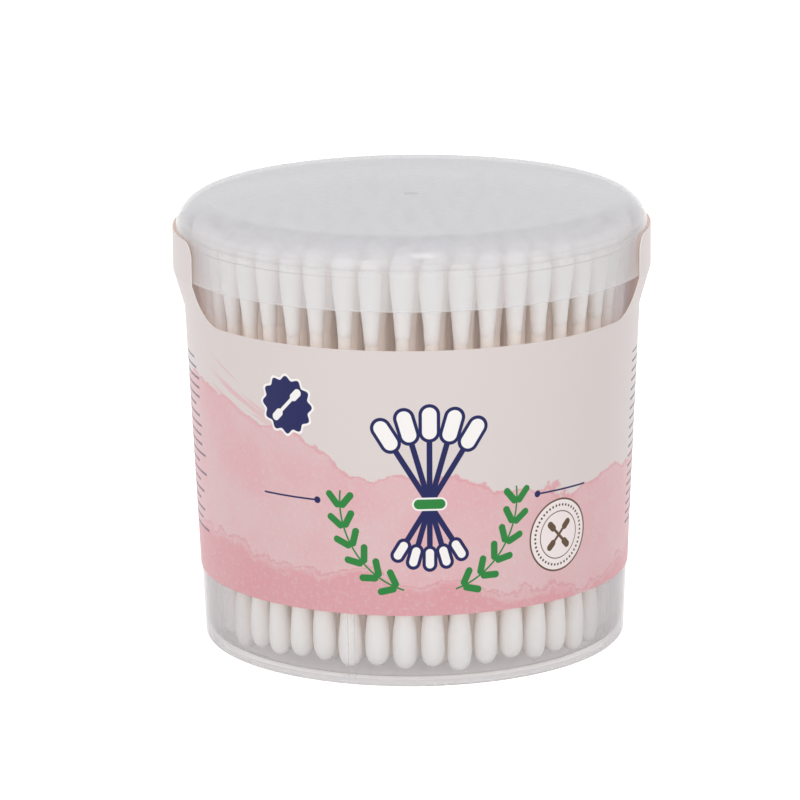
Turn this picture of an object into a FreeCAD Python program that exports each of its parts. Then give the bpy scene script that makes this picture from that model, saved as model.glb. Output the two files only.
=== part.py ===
import FreeCAD, Part
import math
import os
import random

# A round tub of cotton swabs: a clear moulded tub with a slight outward draft, a frosted
# lid that drops over its rim, a wrap of film whose two side ears hold the lid down, and
# swabs that stand in rings. Millimetres. The origin is the centre of the foot, +Z points
# up, and the middle of the label faces -Y.

# Tub
base_radius = 36.9      # outside of the wall, carried down to the table
wall_draft = 0.043      # growth of the radius for each unit of height
tub_wall = 0.7
tub_floor = 0.9
foot_lift = 0.6         # height of the floor's underside over the table
foot_width = 2.0        # flat ring that the tub stands on
base_round = 0.6        # outer corner of the foot
floor_round = 0.9       # inner corner between floor and wall
rim_height = 72.7
neck_height = 8.7       # straight part of the wall below the rim
bead_depth = 0.35       # snap bead round the neck
bead_height = 1.2
gate_radius = 1.5       # nub left by the moulding gate under the floor
gate_height = 0.3

# Lid
lid_overlap = 6.7       # how far the skirt reaches below the rim
head_room = 1.7         # highest swabs to the underside of the lid's top
rim_room = 4.4          # least height from the rim to the underside of the lid's top
lid_wall = 0.7
lid_top = 0.7
lid_play = 0.25         # radial room between the neck's bead and the lid
skirt_draft = 0.04      # inward lean of the skirt for each unit of height
shoulder_round = 5.4
skirt_edge_round = 0.2
stop_lip = 0.1          # reach of the lid's stop ring past the inside of the rim
stop_height = 1.0       # the stop ring is what sits on the rim
seat_gap = 0.1
dimple_radius = 1.3     # gate dimple in the middle of the top
dimple_depth = 0.2

# Label
film = 0.12
film_gap = 0.04         # film to tub
label_drop = 6.9        # skirt's lower edge down to the label's top edge
label_height = 46.3     # without the ears
lap_width = 7.0         # overlap of the film's two ends at the back
ear_half_width = 15.9
ear_reach = 7.0         # how far the ears climb above the skirt's lower edge
ear_corner = 3.0
ear_sweep = 4.5         # curve from the label's top edge into an ear
ear_gap = 0.15          # film to lid

# Swabs
swab_length = 73.4
head_radius = 2.175
head_length = 15.8
head_bulge = 4.6        # widest point, measured from the swab's end
head_dome = 1.85        # rounding of the end
cotton_edge = 0.22      # thickness of the cotton where the winding ends
stick_radius = 1.15
stick_inset = 2.6       # cotton beyond each end of the stick
wound_gap = 0.03        # cotton to stick
swab_gap = 0.06         # least room between neighbouring heads
wall_gap = 0.12         # heads to the tub's wall at the floor
stop_gap = 0.32         # upper heads to the lid's stop ring
floor_gap = 0.1         # lowest heads to the floor
height_scatter = 0.5    # swabs stand unevenly by up to this much
ring_fill = 0.96        # part of the outer ring's places that is taken
ring_step = 6           # swabs fewer in each ring than in the one around it
top_sway = 0.15         # how far upper heads stray across their ring


# Places and sizes that follow from the values above
neck_base = rim_height - neck_height
neck_radius = base_radius + wall_draft * neck_base
bead_radius = neck_radius + bead_depth
floor_top = foot_lift + tub_floor
swab_top = floor_top + floor_gap + height_scatter + swab_length
stop_base = rim_height + seat_gap
stop_top = stop_base + stop_height
stop_radius = neck_radius - tub_wall - stop_lip
lid_top_height = max(swab_top + head_room, rim_height + rim_room) + lid_top
skirt_edge = rim_height - lid_overlap
lid_height = lid_top_height - skirt_edge
skirt_radius = bead_radius + lid_play + lid_wall + skirt_draft * lid_overlap
label_top = skirt_edge - label_drop
label_base = label_top - label_height
ear_top = skirt_edge + ear_reach
label_reach = 2 * skirt_radius


def wall_radius(height):
    return base_radius + wall_draft * min(height, neck_base)


def vector(a, b, plane):
    # plane "rz" draws on X-Z for turning about Z, plane "yz" draws a side view
    if plane == "rz":
        return FreeCAD.Vector(a, 0, b)
    return FreeCAD.Vector(0, a, b)


def outline(corners, plane="rz"):
    # a closed face from corners (a, b) or (a, b, rounding), rounded by tangent arcs
    spots = []
    total = len(corners)
    for i, corner in enumerate(corners):
        here = vector(corner[0], corner[1], plane)
        rounding = corner[2] if len(corner) > 2 else 0
        if rounding <= 0:
            spots.append((here, None, here))
            continue
        before = vector(corners[i - 1][0], corners[i - 1][1], plane)
        after = vector(corners[(i + 1) % total][0], corners[(i + 1) % total][1], plane)
        to_before = (before - here).normalize()
        to_after = (after - here).normalize()
        half = to_before.getAngle(to_after) / 2
        reach = rounding / math.tan(half)
        middle = (to_before + to_after).normalize()
        bulge = here + middle * (rounding / math.sin(half) - rounding)
        spots.append((here + to_before * reach, bulge, here + to_after * reach))
    edges = []
    for i, (start, bulge, end) in enumerate(spots):
        if bulge is not None:
            edges.append(Part.Arc(start, bulge, end).toShape())
        following = spots[(i + 1) % total][0]
        if end.distanceToPoint(following) > 1e-6:
            edges.append(Part.LineSegment(end, following).toShape())
    return Part.Face(Part.Wire(edges))


def turned(corners, degrees=360):
    axis = FreeCAD.Vector(0, 0, 1)
    solid = outline(corners).revolve(FreeCAD.Vector(0, 0, 0), axis, degrees)
    if solid.Volume < 0:
        solid.reverse()
    return solid


def tub():
    foot_inner = base_radius - tub_wall - foot_width
    inner_foot = base_radius + wall_draft * floor_top - tub_wall
    bead_base = rim_height - 1.2 * bead_height
    body = turned(
        [
            (0, foot_lift),
            (foot_inner, foot_lift, 0.3 * foot_lift),
            (foot_inner + foot_lift, 0),
            (base_radius, 0, base_round),
            (neck_radius, neck_base),
            (neck_radius, bead_base),
            (bead_radius, bead_base + 0.3 * bead_height),
            (bead_radius, bead_base + bead_height),
            (neck_radius, rim_height),
            (neck_radius - tub_wall, rim_height, 0.25 * tub_wall),
            (neck_radius - tub_wall, neck_base),
            (inner_foot, floor_top, floor_round),
            (0, floor_top),
        ]
    )
    # the gate nub hangs from the floor's underside and stays off the table
    nub = Part.makeCylinder(
        gate_radius, gate_height + tub_floor / 2, FreeCAD.Vector(0, 0, foot_lift - gate_height)
    )
    return body.fuse(nub).removeSplitter()


def lid():
    top = lid_top_height
    upper_outer = skirt_radius - skirt_draft * lid_height
    upper_inner = upper_outer - lid_wall + skirt_draft * lid_top
    body = turned(
        [
            (0, skirt_edge),
            (skirt_radius, skirt_edge, skirt_edge_round),
            (upper_outer, top, shoulder_round),
            (dimple_radius, top),
            (dimple_radius - dimple_depth, top - dimple_depth),
            (0, top - dimple_depth),
        ]
    )
    hollow = turned(
        [
            (0, skirt_edge),
            (skirt_radius - lid_wall, skirt_edge),
            (upper_inner, top - lid_top, shoulder_round - lid_wall),
            (0, top - lid_top),
        ]
    )
    # the stop ring is what the hollow leaves standing inside the skirt
    stop = turned(
        [
            (stop_radius, stop_base),
            (skirt_radius, stop_base),
            (skirt_radius, stop_top),
            (stop_radius, stop_top),
        ]
    )
    return body.cut(hollow.cut(stop))


def film_turned(path, start_offset, degrees=360):
    # path holds (radius, height) of what the film lies on
    inner = [(radius + start_offset, height) for radius, height in path]
    outer = [(radius + start_offset + film, height) for radius, height in reversed(path)]
    return turned(inner + outer, degrees)


def label():
    bend = skirt_edge - 2 * ear_gap
    ear_radius = skirt_radius + ear_gap - film_gap
    path = [
        (wall_radius(label_base), label_base),
        (wall_radius(label_top), label_top),
        (ear_radius, bend),
        (ear_radius, ear_top),
    ]
    sleeve = film_turned(path, film_gap)
    below = label_base - ear_reach
    cut = outline(
        [
            (-label_reach, below),
            (label_reach, below),
            (label_reach, label_top),
            (ear_half_width, label_top, ear_sweep),
            (ear_half_width, ear_top, ear_corner),
            (-ear_half_width, ear_top, ear_corner),
            (-ear_half_width, label_top, ear_sweep),
            (-label_reach, label_top),
        ],
        "yz",
    )
    cut.translate(FreeCAD.Vector(-label_reach, 0, 0))
    wrap = sleeve.common(cut.extrude(FreeCAD.Vector(2 * label_reach, 0, 0)))
    # the outer end of the film lies over the inner one at the back
    angle = math.degrees(lap_width / wall_radius(label_top))
    lap = film_turned(path[:2], film_gap + film, angle)
    lap.rotate(FreeCAD.Vector(0, 0, 0), FreeCAD.Vector(0, 0, 1), 90 - angle / 2)
    return wrap.fuse(lap).removeSplitter()


def stick():
    length = swab_length - 2 * stick_inset
    return Part.makeCylinder(stick_radius, length, FreeCAD.Vector(0, 0, stick_inset))


def cotton_tip():
    # wound on the stick's lower end, with its rounded end at the origin
    hole = stick_radius + wound_gap
    shoulder = head_radius - 0.04 * head_radius
    return turned(
        [
            (0, 0),
            (shoulder, 0, head_dome),
            (head_radius, head_bulge, 2.5 * head_radius),
            (hole + cotton_edge, head_length),
            (hole, head_length),
            (hole, stick_inset - wound_gap),
            (0, stick_inset - wound_gap),
        ]
    )


def upper_tip(tip):
    turned_over = tip.copy()
    turned_over.rotate(FreeCAD.Vector(0, 0, 0), FreeCAD.Vector(1, 0, 0), 180)
    turned_over.translate(FreeCAD.Vector(0, 0, swab_length))
    return turned_over


def places_in_ring(radius):
    room = 2 * head_radius + swab_gap
    if radius <= room / 2:
        return 1
    return int(math.pi / math.asin(room / (2 * radius)))


def swab_rings():
    # a list of rings from the wall inwards, each a list of (foot, direction) of its swabs
    draw = random.Random(11)
    pitch = 2 * head_radius + swab_gap
    floor_radius = base_radius + wall_draft * (floor_top + head_bulge) - tub_wall
    outer = floor_radius - wall_gap - head_radius
    spread = (stop_radius - stop_gap - head_radius) / outer
    most = int(ring_fill * places_in_ring(outer))
    rings = []
    for number in range(int(outer / pitch) + 1):
        radius = outer - number * pitch
        count = int(min(most - number * ring_step, places_in_ring(radius)))
        if count < 1:
            break
        chord = 2 * radius * math.sin(math.pi / count)
        slack = max(chord - pitch, 0)
        phase = draw.uniform(0, 2 * math.pi)
        ring = []
        for i in range(count):
            angle = phase + 2 * math.pi * i / count
            turn_low = draw.uniform(-0.5, 0.5) * slack / radius
            turn_high = draw.uniform(-0.5, 0.5) * (slack + top_sway) / radius
            high_radius = radius * spread - draw.uniform(0, top_sway)
            lift = floor_top + floor_gap + draw.uniform(0, height_scatter)
            foot = FreeCAD.Vector(
                radius * math.cos(angle + turn_low), radius * math.sin(angle + turn_low), lift
            )
            head = FreeCAD.Vector(
                high_radius * math.cos(angle + turn_high),
                high_radius * math.sin(angle + turn_high),
                lift + swab_length,
            )
            ring.append((foot, head - foot))
        rings.append(ring)
    return rings


def stood(shape, foot, direction):
    turn = FreeCAD.Rotation(FreeCAD.Vector(0, 0, 1), direction)
    return shape.transformed(FreeCAD.Placement(foot, turn).toMatrix(), True)


def save(name, shape):
    shape.exportStep(os.path.join("parts", name + ".step"))
    print(name, len(shape.Solids), "solids", round(shape.Volume, 1), "mm3", shape.isValid())


os.makedirs("parts", exist_ok=True)
save("tub", tub())
save("lid", lid())
save("label", label())

one_stick = stick()
low_tip = cotton_tip()
high_tip = upper_tip(low_tip)
for number, ring in enumerate(swab_rings(), 1):
    sticks = [stood(one_stick, foot, direction) for foot, direction in ring]
    tips = [stood(tip, foot, direction) for foot, direction in ring for tip in (low_tip, high_tip)]
    save("sticks_ring_%d" % number, Part.makeCompound(sticks))
    save("cotton_tips_ring_%d" % number, Part.makeCompound(tips))
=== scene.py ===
import bpy
import math
import random
from mathutils import Matrix, Vector


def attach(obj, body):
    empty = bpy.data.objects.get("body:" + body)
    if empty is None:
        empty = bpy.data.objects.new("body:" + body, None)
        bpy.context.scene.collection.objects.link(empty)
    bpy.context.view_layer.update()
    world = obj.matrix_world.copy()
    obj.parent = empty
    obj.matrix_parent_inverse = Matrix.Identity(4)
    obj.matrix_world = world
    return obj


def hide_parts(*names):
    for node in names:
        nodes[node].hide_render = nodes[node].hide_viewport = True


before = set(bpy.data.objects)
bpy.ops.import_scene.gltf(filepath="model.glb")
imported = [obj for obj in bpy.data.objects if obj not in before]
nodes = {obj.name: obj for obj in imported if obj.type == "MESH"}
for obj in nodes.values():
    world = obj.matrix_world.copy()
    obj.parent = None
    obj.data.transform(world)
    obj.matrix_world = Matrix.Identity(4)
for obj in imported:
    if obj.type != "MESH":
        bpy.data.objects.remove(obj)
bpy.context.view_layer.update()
mm = 0.001
print("frame loaded:", len(nodes), "nodes")


# Helpers for objects

def clearSelection():
    if bpy.context.mode != "OBJECT":
        bpy.ops.object.mode_set(mode="OBJECT")
    bpy.ops.object.select_all(action="DESELECT")


def heights(obj):
    # lowest and highest point of a CAD node, in millimetres
    levels = [v.co.z / mm for v in obj.data.vertices]
    return min(levels), max(levels)


def giveMaterial(obj, material):
    obj.data.materials.clear()
    obj.data.materials.append(material)


# Helpers for shader nodes

def screenColor(red, green, blue):
    # a colour as a screen shows it, 0 to 255, in the linear form that a shader takes
    def linear(value):
        share = value / 255
        if share <= 0.04045:
            return share / 12.92
        return ((share + 0.055) / 1.055) ** 2.4

    return (linear(red), linear(green), linear(blue), 1)


def newMaterial(name, **values):
    material = bpy.data.materials.new(name)
    material.use_nodes = True
    shader = material.node_tree.nodes["Principled BSDF"]
    for socket, value in values.items():
        shader.inputs[socket.replace("_", " ")].default_value = value
    return material, material.node_tree, shader


def feed(tree, socket, value):
    # a socket takes a link from another node, or a plain value
    if isinstance(value, bpy.types.NodeSocket):
        tree.links.new(value, socket)
    else:
        socket.default_value = value


def calc(tree, operation, *values):
    node = tree.nodes.new("ShaderNodeMath")
    node.operation = operation
    for socket, value in zip(node.inputs, values):
        feed(tree, socket, value)
    return node.outputs[0]


def vectorCalc(tree, operation, *values):
    node = tree.nodes.new("ShaderNodeVectorMath")
    node.operation = operation
    for socket, value in zip(node.inputs, values):
        feed(tree, socket, value)
    if operation in ("LENGTH", "DOT_PRODUCT"):
        return node.outputs["Value"]
    return node.outputs["Vector"]


def scaled(tree, vector, factor):
    node = tree.nodes.new("ShaderNodeVectorMath")
    node.operation = "SCALE"
    feed(tree, node.inputs["Vector"], vector)
    feed(tree, node.inputs["Scale"], factor)
    return node.outputs["Vector"]


def combined(tree, x, y, z=0.0):
    node = tree.nodes.new("ShaderNodeCombineXYZ")
    for socket, value in zip(node.inputs, (x, y, z)):
        feed(tree, socket, value)
    return node.outputs["Vector"]


def ramp(tree, value, low, high, bottom=0.0, top=1.0):
    # a smooth step from bottom at low to top at high
    node = tree.nodes.new("ShaderNodeMapRange")
    node.interpolation_type = "SMOOTHSTEP"
    names = ("Value", "From Min", "From Max", "To Min", "To Max")
    for name, setting in zip(names, (value, low, high, bottom, top)):
        feed(tree, node.inputs[name], setting)
    return node.outputs["Result"]


def parts(tree, vector):
    split = tree.nodes.new("ShaderNodeSeparateXYZ")
    feed(tree, split.inputs["Vector"], vector)
    return split.outputs["X"], split.outputs["Y"], split.outputs["Z"]


def cloud(tree, place, scale, detail=3.0, rough=0.5):
    node = tree.nodes.new("ShaderNodeTexNoise")
    feed(tree, node.inputs["Vector"], place)
    node.inputs["Scale"].default_value = scale
    node.inputs["Detail"].default_value = detail
    node.inputs["Roughness"].default_value = rough
    return node.outputs["Fac"]


def paint(tree, under, over, share):
    # one colour laid over another where the share is 1
    node = tree.nodes.new("ShaderNodeMix")
    node.data_type = "RGBA"
    feed(tree, node.inputs[0], share)
    feed(tree, node.inputs[6], under)
    feed(tree, node.inputs[7], over)
    return node.outputs[2]


def addBump(tree, shader, height, strength, distance):
    bump = tree.nodes.new("ShaderNodeBump")
    bump.inputs["Strength"].default_value = strength
    bump.inputs["Distance"].default_value = distance
    feed(tree, bump.inputs["Height"], height)
    tree.links.new(bump.outputs["Normal"], shader.inputs["Normal"])


def objectPlace(tree):
    return tree.nodes.new("ShaderNodeTexCoord").outputs["Object"]


def lampRays(tree):
    # 1 for rays that gather light from lamps and surroundings, 0 for what is looked at
    paths = tree.nodes.new("ShaderNodeLightPath")
    return calc(tree, "MAXIMUM", paths.outputs["Is Shadow Ray"], paths.outputs["Is Diffuse Ray"])


def letLampsThrough(tree, surface, tint, share):
    # a thin or fluffy thing passes some of a lamp's light on, and looks solid to the eye
    veil = tree.nodes.new("ShaderNodeBsdfTransparent")
    veil.inputs["Color"].default_value = tint
    mix = tree.nodes.new("ShaderNodeMixShader")
    feed(tree, mix.inputs[0], calc(tree, "MULTIPLY", lampRays(tree), share))
    tree.links.new(surface, mix.inputs[1])
    tree.links.new(veil.outputs["BSDF"], mix.inputs[2])
    tree.links.new(mix.outputs["Shader"], tree.nodes["Material Output"].inputs["Surface"])


def newGroup(name, inputs, outputs):
    group = bpy.data.node_groups.new(name, "ShaderNodeTree")
    for label, kind, value in inputs:
        socket = group.interface.new_socket(name=label, in_out="INPUT", socket_type=kind)
        socket.default_value = value
    for label, kind in outputs:
        group.interface.new_socket(name=label, in_out="OUTPUT", socket_type=kind)
    start = group.nodes.new("NodeGroupInput")
    end = group.nodes.new("NodeGroupOutput")
    return group, start.outputs, end.inputs


def placeGroup(tree, group, **values):
    node = tree.nodes.new("ShaderNodeGroup")
    node.node_tree = group
    for name, value in values.items():
        feed(tree, node.inputs[name], value)
    return node.outputs


# Shared shader groups

def grainGroup():
    # fine unevenness of a surface: a height for bump, and a value that varies about 1
    group, given, result = newGroup(
        "surfaceGrain",
        [("Vector", "NodeSocketVector", (0, 0, 0)), ("Scale", "NodeSocketFloat", 500.0),
         ("Amount", "NodeSocketFloat", 0.1)],
        [("Height", "NodeSocketFloat"), ("Value", "NodeSocketFloat")],
    )
    place = scaled(group, given["Vector"], given["Scale"])
    coarse = cloud(group, place, 1.0, 3.0)
    feed(group, result["Height"], coarse)
    around = calc(group, "SUBTRACT", coarse, 0.5)
    feed(group, result["Value"], calc(group, "MULTIPLY_ADD", around, given["Amount"], 1.0))
    return group


def strokeGroup():
    # a printed stroke with round ends, from Start to End, Width to each side
    group, given, result = newGroup(
        "printStroke",
        [("Place", "NodeSocketVector", (0, 0, 0)), ("Start", "NodeSocketVector", (0, 0, 0)),
         ("End", "NodeSocketVector", (0, 1, 0)), ("Width", "NodeSocketFloat", 0.5),
         ("Edge", "NodeSocketFloat", 0.05)],
        [("Mask", "NodeSocketFloat")],
    )
    fromStart = vectorCalc(group, "SUBTRACT", given["Place"], given["Start"])
    along = vectorCalc(group, "SUBTRACT", given["End"], given["Start"])
    reach = vectorCalc(group, "DOT_PRODUCT", fromStart, along)
    length = vectorCalc(group, "DOT_PRODUCT", along, along)
    share = calc(group, "DIVIDE", reach, length)
    share = calc(group, "MINIMUM", calc(group, "MAXIMUM", share, 0.0), 1.0)
    nearest = scaled(group, along, share)
    away = vectorCalc(group, "LENGTH", vectorCalc(group, "SUBTRACT", fromStart, nearest))
    outside = calc(group, "SUBTRACT", away, given["Width"])
    edge = given["Edge"]
    feed(group, result["Mask"], ramp(group, outside, calc(group, "MULTIPLY", edge, -1.0), edge, 1.0, 0.0))
    return group


def ringGroup():
    # a printed ring round Center, with its line Width to each side of Radius
    group, given, result = newGroup(
        "printRing",
        [("Place", "NodeSocketVector", (0, 0, 0)), ("Center", "NodeSocketVector", (0, 0, 0)),
         ("Radius", "NodeSocketFloat", 5.0), ("Width", "NodeSocketFloat", 0.1),
         ("Edge", "NodeSocketFloat", 0.05)],
        [("Mask", "NodeSocketFloat")],
    )
    away = vectorCalc(group, "LENGTH", vectorCalc(group, "SUBTRACT", given["Place"], given["Center"]))
    off = calc(group, "ABSOLUTE", calc(group, "SUBTRACT", away, given["Radius"]))
    outside = calc(group, "SUBTRACT", off, given["Width"])
    edge = given["Edge"]
    feed(group, result["Mask"], ramp(group, outside, calc(group, "MULTIPLY", edge, -1.0), edge, 1.0, 0.0))
    return group


surfaceGrain = grainGroup()
printStroke = strokeGroup()
printRing = ringGroup()
print("shader groups done")


# Cotton heads

cotton = {
    "segments": 16, "innerSegments": 10,
    "inset": 2.6,                              # cotton beyond the end of the stick
    "shortBy": 1.5,                            # some heads are wound up to this much shorter
    "color": screenColor(250, 248, 246), "shade": screenColor(236, 231, 227),
    "lampTint": screenColor(253, 249, 245), "lampShare": 0.7,   # light that the fluff passes on
    "lumpSize": 0.0032, "lumpDepth": 0.0003, "lumpMiddle": 0.7,   # unevenness of the winding
    "fullRings": 2,                            # rings from the wall inwards that are seen closely
    "stretch": (0.95, 1.0),                    # thinnest and fullest head
    # height over the swab's end and radius there, in millimetres
    "profile": [(0.0, 0.62), (0.3, 1.22), (0.9, 1.72), (1.9, 2.06), (3.2, 2.2), (4.8, 2.2),
                (6.8, 2.06), (9.0, 1.8), (11.4, 1.54), (13.8, 1.34), (15.8, 1.08)],
}


def cottonMaterial():
    material, tree, shader = newMaterial(
        "cottonWool", Base_Color=cotton["color"], Roughness=0.95, Sheen_Weight=0.25,
        Sheen_Roughness=0.5, Specular_IOR_Level=0.1,
    )
    place = objectPlace(tree)
    fibres = placeGroup(tree, surfaceGrain, Vector=place, Scale=2600.0, Amount=0.08)
    tufts = placeGroup(tree, surfaceGrain, Vector=place, Scale=700.0, Amount=0.07)
    shade = calc(tree, "MULTIPLY", fibres["Value"], tufts["Value"])
    shade = calc(tree, "MINIMUM", shade, 1.0)
    tone = paint(tree, cotton["shade"], cotton["color"], shade)
    tree.links.new(tone, shader.inputs["Base Color"])
    height = calc(tree, "MULTIPLY_ADD", fibres["Height"], 0.35, tufts["Height"])
    addBump(tree, shader, height, 0.55, 0.0003)
    letLampsThrough(tree, shader.outputs["BSDF"], cotton["lampTint"], cotton["lampShare"])
    return material


def modelHead(segments, skip):
    # one head, wide end down, with its tip at the origin
    clearSelection()
    profile = cotton["profile"][::skip]
    first = profile[0]
    bpy.ops.mesh.primitive_circle_add(
        vertices=segments, radius=first[1] * mm, fill_type="NGON", location=(0, 0, first[0] * mm)
    )
    head = bpy.context.object
    bpy.ops.object.mode_set(mode="EDIT")
    bpy.ops.mesh.select_all(action="SELECT")
    for (z0, r0), (z1, r1) in zip(profile, profile[1:]):
        bpy.ops.mesh.extrude_region_move(TRANSFORM_OT_translate={"value": (0, 0, (z1 - z0) * mm)})
        bpy.ops.transform.resize(value=(r1 / r0, r1 / r0, 1))
    bpy.ops.mesh.select_all(action="SELECT")
    bpy.ops.mesh.normals_make_consistent(inside=False)
    bpy.ops.mesh.faces_shade_smooth()
    bpy.ops.object.mode_set(mode="OBJECT")
    return head


def looseParts(obj):
    # lists of corner places, one list for each separate solid of a CAD node
    mesh = obj.data
    names = [tuple(round(value, 6) for value in v.co) for v in mesh.vertices]
    parent = {name: name for name in names}

    def root(name):
        while parent[name] != name:
            parent[name] = parent[parent[name]]
            name = parent[name]
        return name

    for polygon in mesh.polygons:
        corners = [names[i] for i in polygon.vertices]
        for other in corners[1:]:
            parent[root(other)] = root(corners[0])
    groups = {}
    for name in parent:
        groups.setdefault(root(name), []).append(Vector(name))
    return list(groups.values())


def stickAxis(points):
    # middle of the lower and of the upper end of one stick
    middle = sum(points, Vector()) / len(points)
    low = [p for p in points if p.z < middle.z]
    high = [p for p in points if p.z >= middle.z]
    return sum(low, Vector()) / len(low), sum(high, Vector()) / len(high)


def makeHeads(material):
    draw = random.Random(5)
    lumps = bpy.data.textures.new("cottonLumps", "CLOUDS")
    lumps.noise_scale = cotton["lumpSize"]
    outer = modelHead(cotton["segments"], 1)
    inner = modelHead(cotton["innerSegments"], 2)
    ring = 1
    while "sticks_ring_%d" % ring in nodes:
        head = outer if ring <= cotton["fullRings"] else inner
        copies = []
        for points in looseParts(nodes["sticks_ring_%d" % ring]):
            low, high = stickAxis(points)
            along = (high - low).normalized()
            for end, direction in ((low, along), (high, -along)):
                short = draw.uniform(0, cotton["shortBy"]) * mm
                spot = end - direction * (cotton["inset"] * mm - short)
                copy = head.copy()
                copy.data = head.data.copy()
                bpy.context.scene.collection.objects.link(copy)
                wide = draw.uniform(*cotton["stretch"])
                turn = direction.to_track_quat("Z", "Y").to_matrix().to_4x4()
                size = Matrix.Diagonal((wide, draw.uniform(*cotton["stretch"]), 1, 1))
                spin = Matrix.Rotation(draw.uniform(0, 6.28), 4, "Z")
                copy.matrix_world = Matrix.Translation(spot) @ turn @ spin @ size
                copies.append(copy)
        clearSelection()
        for copy in copies:
            copy.select_set(True)
        bpy.context.view_layer.objects.active = copies[0]
        bpy.ops.object.join()
        piece = bpy.context.object
        piece.name = "cottonHeadsRing%d" % ring
        bpy.ops.object.transform_apply(location=True, rotation=True, scale=True)
        bpy.ops.object.modifier_add(type="DISPLACE")
        lump = piece.modifiers[-1]
        lump.texture = lumps
        lump.texture_coords = "GLOBAL"
        lump.mid_level = cotton["lumpMiddle"]
        lump.strength = cotton["lumpDepth"]
        bpy.ops.object.modifier_apply(modifier=lump.name)
        giveMaterial(piece, material)
        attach(piece, "tub_body")
        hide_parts("cotton_tips_ring_%d" % ring)
        ring += 1
    bpy.data.objects.remove(outer)
    bpy.data.objects.remove(inner)
    print("cotton heads done:", ring - 1, "rings")


# Plastics and sticks

tubPlastic = {
    "color": screenColor(184, 177, 181), "roughness": 0.07,
    "haze": 0.1, "edgeHaze": 0.8,              # seen straight on and along the wall
    "wallStart": 34.0, "wallEnd": 36.0,        # the floor ends and the wall begins between these radii, mm
    "floorHaze": 0.35,                         # the floor is clearer than the wall
    "footTop": 1.3, "footHaze": 0.42,          # the solid foot looks greyer, mm
    "middle": 36.55, "draft": 0.043,           # halfway through the wall at the table, mm, and its slope
    "wallLineAngle": -19.3, "wallLineGap": 1.2, "wallLineWidth": 0.1, "wallLineHaze": 0.5,  # two fine hazier lines up the outside of the wall, mm
    "wallLineTop": 20.0,                           # they end behind the label
}
lidPlastic = {
    # the skirt's lighter colour is painted light from within the tub, the top's darker colour is painted
    # shade from the dim inside below it
    "litSkirtColor": screenColor(228, 226, 228), "shadedTopColor": screenColor(207, 206, 211), "roughness": 0.14,
    "skirtHaze": 0.28, "topHaze": 0.62, "edgeHaze": 0.75,
    "milkyBelowTop": 6.4, "milkyFully": 0.3,   # the lid grows milky, and its colour turns from the skirt's painted light to the top's painted shade, between these depths below its top, mm
    "edgeHighlight": 0.35, "edgeHighlightHaze": 0.5,     # painted highlight round the skirt's lower edge, mm
}
hazeForLamps = 0.3                             # share of a plastic's haze that lamplight meets


def seenAlong(tree, low, high):
    # 0 where a surface faces the viewer, 1 where it is seen along
    layer = tree.nodes.new("ShaderNodeLayerWeight")
    layer.inputs["Blend"].default_value = 0.5
    return ramp(tree, layer.outputs["Facing"], low, high)


def between(tree, low, high, share):
    # low where the share is 0, high where it is 1
    return calc(tree, "MULTIPLY_ADD", share, calc(tree, "SUBTRACT", high, low), low)


def forTheEye(tree, haze):
    # milky plastic scatters a lamp's light on inwards, so the haze hardly dims it
    kept = calc(tree, "MULTIPLY_ADD", lampRays(tree), hazeForLamps - 1.0, 1.0)
    return calc(tree, "MULTIPLY", haze, kept)


def twoWallLines(tree, x, y, z, away):
    # two fine lines up the outside of the wall, left of the middle
    turn = math.radians(tubPlastic["wallLineAngle"])
    sideways = calc(tree, "MULTIPLY_ADD", y, math.sin(turn), calc(tree, "MULTIPLY", x, math.cos(turn)))
    off = calc(tree, "SUBTRACT", calc(tree, "ABSOLUTE", sideways), tubPlastic["wallLineGap"] * mm / 2)
    width = tubPlastic["wallLineWidth"] * mm
    line = ramp(tree, calc(tree, "ABSOLUTE", off), width * 0.6, width, tubPlastic["wallLineHaze"], 0.0)
    middle = calc(tree, "MULTIPLY_ADD", z, tubPlastic["draft"], tubPlastic["middle"] * mm)
    outer = calc(tree, "GREATER_THAN", away, middle)
    front = calc(tree, "LESS_THAN", y, 0.0)
    low = calc(tree, "LESS_THAN", z, tubPlastic["wallLineTop"] * mm)
    shown = calc(tree, "MULTIPLY", outer, calc(tree, "MULTIPLY", front, low))
    return calc(tree, "MULTIPLY", line, shown)


def clearPlastic():
    material, tree, shader = newMaterial(
        "clearPlastic", Base_Color=tubPlastic["color"], IOR=1.5, Specular_IOR_Level=0.3,
    )
    place = objectPlace(tree)
    x, y, z = parts(tree, place)
    ripple = placeGroup(tree, surfaceGrain, Vector=place, Scale=90.0, Amount=0.6)
    rough = calc(tree, "MULTIPLY", ripple["Value"], tubPlastic["roughness"])
    tree.links.new(rough, shader.inputs["Roughness"])
    away = vectorCalc(tree, "LENGTH", combined(tree, x, y))
    start = tubPlastic["wallStart"] * mm
    wall = ramp(tree, away, start, tubPlastic["wallEnd"] * mm, tubPlastic["floorHaze"], 1.0)
    along = calc(tree, "MULTIPLY", seenAlong(tree, 0.35, 0.9), wall)
    haze = between(tree, tubPlastic["haze"], tubPlastic["edgeHaze"], along)
    foot = tubPlastic["footTop"] * mm
    haze = calc(tree, "MAXIMUM", haze, ramp(tree, z, foot, foot + 0.2 * mm, tubPlastic["footHaze"], 0.0))
    haze = calc(tree, "MAXIMUM", haze, twoWallLines(tree, x, y, z, away))
    tree.links.new(forTheEye(tree, haze), shader.inputs["Alpha"])
    addBump(tree, shader, ripple["Height"], 0.12, 0.0002)
    return material


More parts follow.
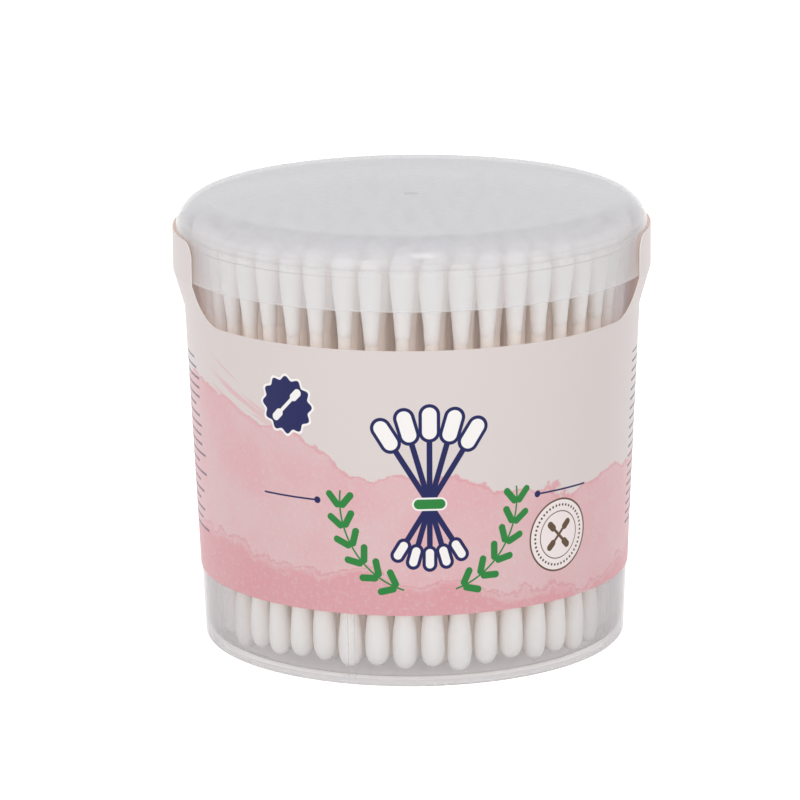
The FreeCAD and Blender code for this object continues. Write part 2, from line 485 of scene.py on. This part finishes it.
def frostedPlastic():
    material, tree, shader = newMaterial("frostedPlastic", IOR=1.5)
    skirtEdge, top = heights(nodes["lid"])
    place = objectPlace(tree)
    z = parts(tree, place)[2]
    start = (top - lidPlastic["milkyBelowTop"]) * mm
    milkyAndShaded = ramp(tree, z, start, (top - lidPlastic["milkyFully"]) * mm)
    fine = placeGroup(tree, surfaceGrain, Vector=place, Scale=900.0, Amount=0.12)
    haze = between(tree, lidPlastic["skirtHaze"], lidPlastic["topHaze"], milkyAndShaded)
    haze = between(tree, haze, lidPlastic["edgeHaze"], seenAlong(tree, 0.6, 1.0))
    # a painted highlight: the haze rises along the skirt's lower edge, so the lighter skirt colour shows
    # there as a bright line
    highlightTop = (skirtEdge + lidPlastic["edgeHighlight"]) * mm
    edgeHighlight = ramp(tree, z, skirtEdge * mm, highlightTop, lidPlastic["edgeHighlightHaze"], 0.0)
    haze = calc(tree, "MULTIPLY", calc(tree, "MAXIMUM", haze, edgeHighlight), fine["Value"])
    tree.links.new(forTheEye(tree, haze), shader.inputs["Alpha"])
    # painted light on the skirt, painted shade on the top
    tone = paint(tree, lidPlastic["litSkirtColor"], lidPlastic["shadedTopColor"], milkyAndShaded)
    tree.links.new(tone, shader.inputs["Base Color"])
    rough = calc(tree, "MULTIPLY", fine["Value"], lidPlastic["roughness"])
    tree.links.new(rough, shader.inputs["Roughness"])
    addBump(tree, shader, fine["Height"], 0.06, 0.0002)
    return material


sticks = {
    "color": screenColor(250, 246, 241), "shade": screenColor(236, 227, 218), "roughness": 0.8,
    "lampTint": screenColor(253, 249, 245), "lampShare": 0.7,   # as for the cotton
}


def paperStick():
    material, tree, shader = newMaterial(
        "paperStick", Roughness=sticks["roughness"], Specular_IOR_Level=0.3,
    )
    place = objectPlace(tree)
    pulp = placeGroup(tree, surfaceGrain, Vector=place, Scale=1100.0, Amount=0.1)
    shade = calc(tree, "MINIMUM", pulp["Value"], 1.0)
    tone = paint(tree, sticks["shade"], sticks["color"], shade)
    tree.links.new(tone, shader.inputs["Base Color"])
    addBump(tree, shader, pulp["Height"], 0.2, 0.0001)
    letLampsThrough(tree, shader.outputs["BSDF"], sticks["lampTint"], sticks["lampShare"])
    return material


# Label print, laid out in millimetres: across from the middle of the front, and up

label = {
    "radius": 39.6,                            # turns an angle about the tub into a length
    "field": screenColor(220, 210, 208),
    "wash": screenColor(223, 176, 181),
    "deepWash": screenColor(217, 151, 159), "wetEdge": screenColor(206, 124, 135),
    "inside": screenColor(243, 230, 223),      # the film's inner face: its pale back, warmed with painted light that shines through the print
    "lampTint": screenColor(243, 230, 223), "lampShare": 0.85,  # lamplight that the film lets in
    "showThrough": 0.6,                        # share of the inner face that is lit from outside
    "cutEdge": screenColor(240, 234, 232),
    "navy": screenColor(22, 27, 84),
    "green": screenColor(38, 128, 58),
    "brown": screenColor(94, 70, 46),
    "white": screenColor(246, 243, 241),
    "sheafCenter": (1.0, 32.5), "sheafStep": 16.0, "sheafSwabs": 5,
    "wreathRadius": 15.8, "wreathStep": 13.0, "wreathFrom": 2, "wreathTo": 7,
    "rosette": (-24.5, 48.5), "rosetteRadius": 4.7, "rosetteWave": 0.33, "rosetteScallops": 12,
    "medallion": (26.0, 24.5), "medallionRadius": 6.3, "medallionDots": 44,
    "ruleHeight": 32.5, "ruleInner": 20.0, "ruleOuter": 31.0,
    "panelLeft": (-63.0, -49.0), "panelRight": (50.0, 64.0),
    "panelTop": 52.0, "panelBase": 20.0, "lineStep": 1.7,
}
washes = {
    "upperHeight": 40.0, "upperStray": 20.0, "upperTilt": -8.0,   # where the pale wash ends, mm
    "lowerHeight": 20.0, "lowerStray": 17.0, "lowerTilt": -4.5,   # where the strong wash ends, mm
    "tiltTurn": 0.35,                          # both washes reach highest a little left of the side
    "strength": 0.72, "mottle": 0.35,          # of the strong wash, and of the paper's grain in it
}
brush = {
    "slope": 0.42, "height": 33.0,             # run of the bristle marks
    "core": 2.5, "fringe": 5.0,                # the band fades between these distances from its middle
    "fadeIn": (-46.0, -38.0), "fadeOut": (-34.0, -22.0), "strength": 0.7,
}


def labelPlaces(tree):
    # the print's own place (across, up), and the place in space for clouds that meet at the back
    inSpace = scaled(tree, objectPlace(tree), 1 / mm)
    x, y, up = parts(tree, inSpace)
    angle = calc(tree, "ARCTAN2", x, calc(tree, "MULTIPLY", y, -1.0))
    across = calc(tree, "MULTIPLY", angle, label["radius"])
    outward = scaled(tree, combined(tree, x, y), 1 / label["radius"])
    return inSpace, angle, across, up, combined(tree, across, up), outward


def washLayers(tree, inSpace, angle, up):
    # pale field, a pink wash with a wet edge, and a stronger wash low on the left
    sway = calc(tree, "SINE", calc(tree, "ADD", angle, washes["tiltTurn"]))
    broad = calc(tree, "SUBTRACT", cloud(tree, inSpace, 0.055, 6.0, 0.58), 0.5)
    line = calc(tree, "MULTIPLY_ADD", broad, washes["upperStray"], washes["upperHeight"])
    line = calc(tree, "MULTIPLY_ADD", sway, washes["upperTilt"], line)
    depth = calc(tree, "SUBTRACT", line, up)
    washed = ramp(tree, depth, -0.15, 0.45)
    pigment = ramp(tree, cloud(tree, inSpace, 0.09, 4.0), 0.32, 0.7, 0.68, 1.0)
    color = paint(tree, label["field"], label["wash"], calc(tree, "MULTIPLY", washed, pigment))
    wet = ramp(tree, calc(tree, "ABSOLUTE", calc(tree, "SUBTRACT", depth, 0.35)), 0.05, 0.55, 0.55, 0.0)
    color = paint(tree, color, label["deepWash"], wet)
    shifted = vectorCalc(tree, "ADD", inSpace, (40.0, 13.0, 7.0))
    low = calc(tree, "SUBTRACT", cloud(tree, shifted, 0.06, 6.0, 0.6), 0.5)
    lowLine = calc(tree, "MULTIPLY_ADD", low, washes["lowerStray"], washes["lowerHeight"])
    lowLine = calc(tree, "MULTIPLY_ADD", sway, washes["lowerTilt"], lowLine)
    lowDepth = calc(tree, "SUBTRACT", lowLine, up)
    strong = calc(tree, "MULTIPLY", ramp(tree, lowDepth, -0.1, 1.6), washes["strength"])
    color = paint(tree, color, label["deepWash"], strong)
    lowWet = ramp(tree, calc(tree, "ABSOLUTE", lowDepth), 0.05, 0.4, 0.4, 0.0)
    color = paint(tree, color, label["wetEdge"], lowWet)
    paper = placeGroup(tree, surfaceGrain, Vector=inSpace, Scale=1.6, Amount=0.55)
    grains = ramp(tree, paper["Height"], 0.5, 0.75)
    mottle = calc(tree, "MULTIPLY", grains, calc(tree, "MULTIPLY", washed, washes["mottle"]))
    return paint(tree, color, label["field"], mottle), paper


def brushStreaks(tree, color, across, up):
    # dry brush marks that rise to the left of the rosette
    slant = calc(tree, "MULTIPLY_ADD", across, brush["slope"], up)
    stretched = combined(tree, calc(tree, "MULTIPLY", across, 0.05), calc(tree, "MULTIPLY", slant, 0.8))
    bristles = ramp(tree, cloud(tree, stretched, 1.0, 3.0), 0.5, 0.58)
    off = calc(tree, "ABSOLUTE", calc(tree, "SUBTRACT", slant, brush["height"]))
    band = ramp(tree, off, brush["core"], brush["fringe"], 1.0, 0.0)
    side = ramp(tree, across, *brush["fadeIn"])
    side = calc(tree, "MULTIPLY", side, ramp(tree, across, *brush["fadeOut"], 1.0, 0.0))
    side = calc(tree, "MULTIPLY", side, brush["strength"])
    share = calc(tree, "MULTIPLY", calc(tree, "MULTIPLY", bristles, band), side)
    return paint(tree, color, label["wash"], share)


def stroke(tree, color, place, start, end, width, ink):
    mask = placeGroup(
        tree, printStroke, Place=place, Start=(start[0], start[1], 0), End=(end[0], end[1], 0), Width=width
    )
    return paint(tree, color, ink, mask["Mask"])


def circle(tree, color, place, radius, width, ink):
    mask = placeGroup(tree, printRing, Place=place, Radius=radius, Width=width)
    return paint(tree, color, ink, mask["Mask"])


def around(tree, place, center):
    # a place measured from a centre: the vector, its two parts and its length
    offset = vectorCalc(tree, "SUBTRACT", place, (center[0], center[1], 0))
    x, y = parts(tree, offset)[:2]
    return offset, x, y, vectorCalc(tree, "LENGTH", offset)


def repeated(tree, angle, away, step, first, last):
    # folds a fan of copies, one every step degrees, into one copy that points up
    turns = calc(tree, "ROUND", calc(tree, "DIVIDE", angle, math.radians(step)))
    turns = calc(tree, "MINIMUM", calc(tree, "MAXIMUM", turns, float(first)), float(last))
    rest = calc(tree, "MULTIPLY_ADD", turns, -math.radians(step), angle)
    return (
        calc(tree, "MULTIPLY", away, calc(tree, "SINE", rest)),
        calc(tree, "MULTIPLY", away, calc(tree, "COSINE", rest)),
    )


def sheafOfSwabs(tree, color, place):
    # five swabs that cross at a green band
    offset, x, y, away = around(tree, place, label["sheafCenter"])
    half = label["sheafSwabs"] // 2
    angle = calc(tree, "ARCTAN2", x, calc(tree, "ABSOLUTE", y))
    side, along = repeated(tree, angle, away, label["sheafStep"], -half, half)
    folded = combined(tree, side, calc(tree, "MULTIPLY", along, calc(tree, "SIGN", y)))
    color = stroke(tree, color, folded, (0, -8.5), (0, 12.5), 0.5, label["navy"])
    for start, end, width in (((0, 12.6), (0, 15.6), 1.85), ((0, -8.6), (0, -10.6), 1.32)):
        color = stroke(tree, color, folded, start, end, width, label["navy"])
        color = stroke(tree, color, folded, start, end, width - 0.6, label["white"])
    color = stroke(tree, color, offset, (-1.9, 0), (1.9, 0), 1.15, label["white"])
    return stroke(tree, color, offset, (-1.9, 0), (1.9, 0), 0.85, label["green"])


def wreath(tree, color, place):
    # leaves on a thin stem, round the lower part of the sheaf
    offset, x, y, away = around(tree, place, label["sheafCenter"])
    angle = calc(tree, "ARCTAN2", calc(tree, "ABSOLUTE", x), calc(tree, "MULTIPLY", y, -1.0))
    radius = label["wreathRadius"]
    side, along = repeated(tree, angle, away, label["wreathStep"], label["wreathFrom"], label["wreathTo"])
    folded = combined(tree, side, along)
    color = stroke(tree, color, folded, (-0.7, radius + 0.5), (1.0, radius + 1.9), 0.62, label["green"])
    color = stroke(tree, color, folded, (-0.7, radius - 0.5), (1.0, radius - 1.9), 0.62, label["green"])
    stem = placeGroup(tree, printRing, Place=offset, Radius=radius, Width=0.16)
    first = math.radians(label["wreathStep"] * (label["wreathFrom"] - 0.7))
    last = math.radians(label["wreathStep"] * (label["wreathTo"] + 0.5))
    past = calc(tree, "GREATER_THAN", angle, first)
    shown = calc(tree, "MULTIPLY", past, calc(tree, "LESS_THAN", angle, last))
    return paint(tree, color, label["green"], calc(tree, "MULTIPLY", stem["Mask"], shown))


def smallSwab(tree, color, offset, reach, ink, slope=1):
    ends = ((-reach, -reach * slope), (reach, reach * slope))
    color = stroke(tree, color, offset, ends[0], ends[1], 0.13 * reach, ink)
    for end in ends:
        inner = (end[0] * 0.66, end[1] * 0.66)
        color = stroke(tree, color, offset, inner, end, 0.3 * reach, ink)
    return color


def rosette(tree, color, place):
    offset, x, y, away = around(tree, place, label["rosette"])
    waves = calc(tree, "MULTIPLY", calc(tree, "ARCTAN2", x, y), float(label["rosetteScallops"]))
    wave = calc(tree, "MULTIPLY", calc(tree, "COSINE", waves), label["rosetteWave"])
    rim = calc(tree, "SUBTRACT", away, wave)
    for grow, ink in ((0.45, label["white"]), (0.0, label["navy"])):
        edge = label["rosetteRadius"] + grow
        color = paint(tree, color, ink, ramp(tree, rim, edge - 0.05, edge + 0.05, 1.0, 0.0))
    return smallSwab(tree, color, offset, 2.3, label["white"])


def medallion(tree, color, place):
    offset, x, y, away = around(tree, place, label["medallion"])
    radius = label["medallionRadius"]
    color = paint(tree, color, label["white"], ramp(tree, away, radius - 0.05, radius + 0.05, 0.75, 0.0))
    color = circle(tree, color, offset, radius, 0.16, label["brown"])
    color = circle(tree, color, offset, radius * 0.66, 0.09, label["brown"])
    angle = calc(tree, "ARCTAN2", x, y)
    step = 360 / label["medallionDots"]
    side, along = repeated(tree, angle, away, step, -label["medallionDots"], label["medallionDots"])
    folded = combined(tree, side, along)
    color = stroke(tree, color, folded, (0, radius * 0.83), (0, radius * 0.84), 0.2, label["brown"])
    color = smallSwab(tree, color, offset, 2.0, label["brown"], 1)
    return smallSwab(tree, color, offset, 2.0, label["brown"], -1)


def rules(tree, color, place):
    # a thin line with a dot at each side of the sheaf
    middle = label["sheafCenter"][0]
    height = label["ruleHeight"]
    for side in (-1, 1):
        near = (middle + side * label["ruleInner"], height)
        far = (middle + side * label["ruleOuter"], height)
        color = stroke(tree, color, place, near, far, 0.16, label["navy"])
        color = stroke(tree, color, place, near, (near[0] + 0.01, height), 0.6, label["navy"])
    return color


def linedPanels(tree, color, across, up):
    # plain lines of uneven length on the two sides
    row = calc(tree, "FLOOR", calc(tree, "DIVIDE", up, label["lineStep"]))
    part = calc(tree, "FRACT", calc(tree, "DIVIDE", up, label["lineStep"]))
    bar = ramp(tree, calc(tree, "ABSOLUTE", calc(tree, "SUBTRACT", part, 0.5)), 0.1, 0.17, 1.0, 0.0)
    inside = calc(tree, "MULTIPLY", calc(tree, "LESS_THAN", up, label["panelTop"]),
                  calc(tree, "GREATER_THAN", up, label["panelBase"]))
    dice = tree.nodes.new("ShaderNodeTexWhiteNoise")
    dice.noise_dimensions = "1D"
    tree.links.new(row, dice.inputs["W"])
    short = calc(tree, "MULTIPLY", dice.outputs["Value"], 5.0)
    for start, end in (label["panelLeft"], label["panelRight"]):
        past = calc(tree, "GREATER_THAN", across, start)
        before = calc(tree, "LESS_THAN", calc(tree, "ADD", across, short), end)
        within = calc(tree, "MULTIPLY", past, before)
        share = calc(tree, "MULTIPLY", within, calc(tree, "MULTIPLY", bar, inside))
        color = paint(tree, color, label["navy"], calc(tree, "MULTIPLY", share, 0.75))
    return color


def labelFilm():
    material, tree, shader = newMaterial("labelFilm", Roughness=0.42, Specular_IOR_Level=0.25)
    inSpace, angle, across, up, place, outward = labelPlaces(tree)
    ground, paper = washLayers(tree, inSpace, angle, up)
    color = brushStreaks(tree, ground, across, up)
    color = linedPanels(tree, color, across, up)
    color = rules(tree, color, place)
    color = wreath(tree, color, place)
    color = sheafOfSwabs(tree, color, place)
    color = rosette(tree, color, place)
    color = medallion(tree, color, place)
    # the face towards the tub shows its pale back with the print faintly on it, painted light shining
    # through the film, and cut edges are pale
    normal = tree.nodes.new("ShaderNodeNewGeometry").outputs["Normal"]
    facing = vectorCalc(tree, "DOT_PRODUCT", normal, outward)
    inward = ramp(tree, facing, -0.6, -0.2, 1.0, 0.0)
    color = paint(tree, color, paint(tree, label["inside"], ground, 0.35), inward)
    cut = ramp(tree, calc(tree, "ABSOLUTE", facing), 0.45, 0.7, 1.0, 0.0)
    color = paint(tree, color, label["cutEdge"], cut)
    tree.links.new(color, shader.inputs["Base Color"])
    addBump(tree, shader, paper["Height"], 0.05, 0.0001)
    # light that falls on the outer face also shows on the inner one
    glowing = tree.nodes.new("ShaderNodeBsdfTranslucent")
    tree.links.new(color, glowing.inputs["Color"])
    film = tree.nodes.new("ShaderNodeMixShader")
    feed(tree, film.inputs[0], calc(tree, "MULTIPLY", inward, label["showThrough"]))
    tree.links.new(shader.outputs["BSDF"], film.inputs[1])
    tree.links.new(glowing.outputs["BSDF"], film.inputs[2])
    letLampsThrough(tree, film.outputs["Shader"], label["lampTint"], label["lampShare"])
    return material


# Studio

view = {
    "azimuth": -2.5, "elevation": 14.0, "distance": 0.806, "roll": -0.53,
    "aimRight": -2.28 * mm, "aimUp": 2.0 * mm, "height": 39 * mm, "lens": 207.0,
}
studio = {
    "world": 0.75, "floorColor": 0.9, "floorGlow": 0.68,
    # name, place, width and height, power
    "lamps": [
        ("keySoftbox", (-0.55, -0.95, 0.45), (0.5, 0.6), 2.3),
        ("fillSoftbox", (0.8, -0.7, 0.35), (0.4, 0.6), 0.9),
        ("leftStrip", (0.02, -0.7, 0.98), (0.03, 0.4), 0.6),
        ("rightStrip", (0.1, -0.7, 0.98), (0.03, 0.4), 0.6),
    ],
}


def addCamera():
    a = math.radians(view["azimuth"])
    e = math.radians(view["elevation"])
    back = Vector((math.sin(a) * math.cos(e), -math.cos(a) * math.cos(e), math.sin(e)))
    right = Vector((math.cos(a), math.sin(a), 0))
    up = back.cross(right)
    middle = Vector((0, 0, view["height"]))
    spot = middle + back * view["distance"]
    aim = middle + right * view["aimRight"] + up * view["aimUp"]
    turn = (aim - spot).to_track_quat("-Z", "Y").to_matrix()
    turn = turn @ Matrix.Rotation(math.radians(view["roll"]), 3, "Z")
    data = bpy.data.cameras.new("camera")
    camera = bpy.data.objects.new("camera", data)
    bpy.context.scene.collection.objects.link(camera)
    camera.matrix_world = Matrix.Translation(spot) @ turn.to_4x4()
    data.sensor_width = 36
    data.lens = view["lens"]
    data.clip_start = 0.05
    bpy.context.scene.camera = camera


def seenDirectly(tree):
    # 1 for what the camera sees, straight or in gloss or through plastic
    paths = tree.nodes.new("ShaderNodeLightPath")
    seen = calc(tree, "MAXIMUM", paths.outputs["Is Camera Ray"], paths.outputs["Is Glossy Ray"])
    return calc(tree, "MAXIMUM", seen, paths.outputs["Is Transmission Ray"])


def addFloor():
    clearSelection()
    bpy.ops.mesh.primitive_plane_add(size=6, location=(0, 0, 0))
    floor = bpy.context.object
    floor.name = "floor"
    shade = studio["floorColor"]
    material, tree, shader = newMaterial(
        "floorWhite", Base_Color=(shade, shade, shade, 1), Roughness=1.0, Specular_IOR_Level=0.0,
        Emission_Color=(1, 1, 1, 1),
    )
    glow = calc(tree, "MULTIPLY", seenDirectly(tree), studio["floorGlow"])
    tree.links.new(glow, shader.inputs["Emission Strength"])
    giveMaterial(floor, material)


def addLamp(name, location, size, power, aim=(0, 0, 0.04)):
    data = bpy.data.lights.new(name, "AREA")
    data.shape = "RECTANGLE"
    data.size, data.size_y = size
    data.energy = power
    lamp = bpy.data.objects.new(name, data)
    bpy.context.scene.collection.objects.link(lamp)
    lamp.location = location
    lamp.rotation_euler = (Vector(aim) - Vector(location)).to_track_quat("-Z", "Y").to_euler()


def addLights():
    world = bpy.data.worlds.new("studio")
    bpy.context.scene.world = world
    world.use_nodes = True
    tree = world.node_tree
    background = tree.nodes["Background"]
    background.inputs["Color"].default_value = (1, 1, 1, 1)
    level = calc(tree, "MULTIPLY_ADD", seenDirectly(tree), 1.0 - studio["world"], studio["world"])
    tree.links.new(level, background.inputs["Strength"])
    for name, location, size, power in studio["lamps"]:
        addLamp(name, location, size, power)


# Build

makeHeads(cottonMaterial())
giveMaterial(nodes["tub"], clearPlastic())
giveMaterial(nodes["lid"], frostedPlastic())
giveMaterial(nodes["label"], labelFilm())
stickPaper = paperStick()
for name, node in nodes.items():
    if name.startswith("sticks_"):
        giveMaterial(node, stickPaper)
print("materials done")
addFloor()
addLights()
addCamera()
bpy.context.scene.view_settings.view_transform = "Standard"
bpy.context.scene.cycles.transparent_max_bounces = 16  # light crosses lid, wall, film and fluff
print("studio done")
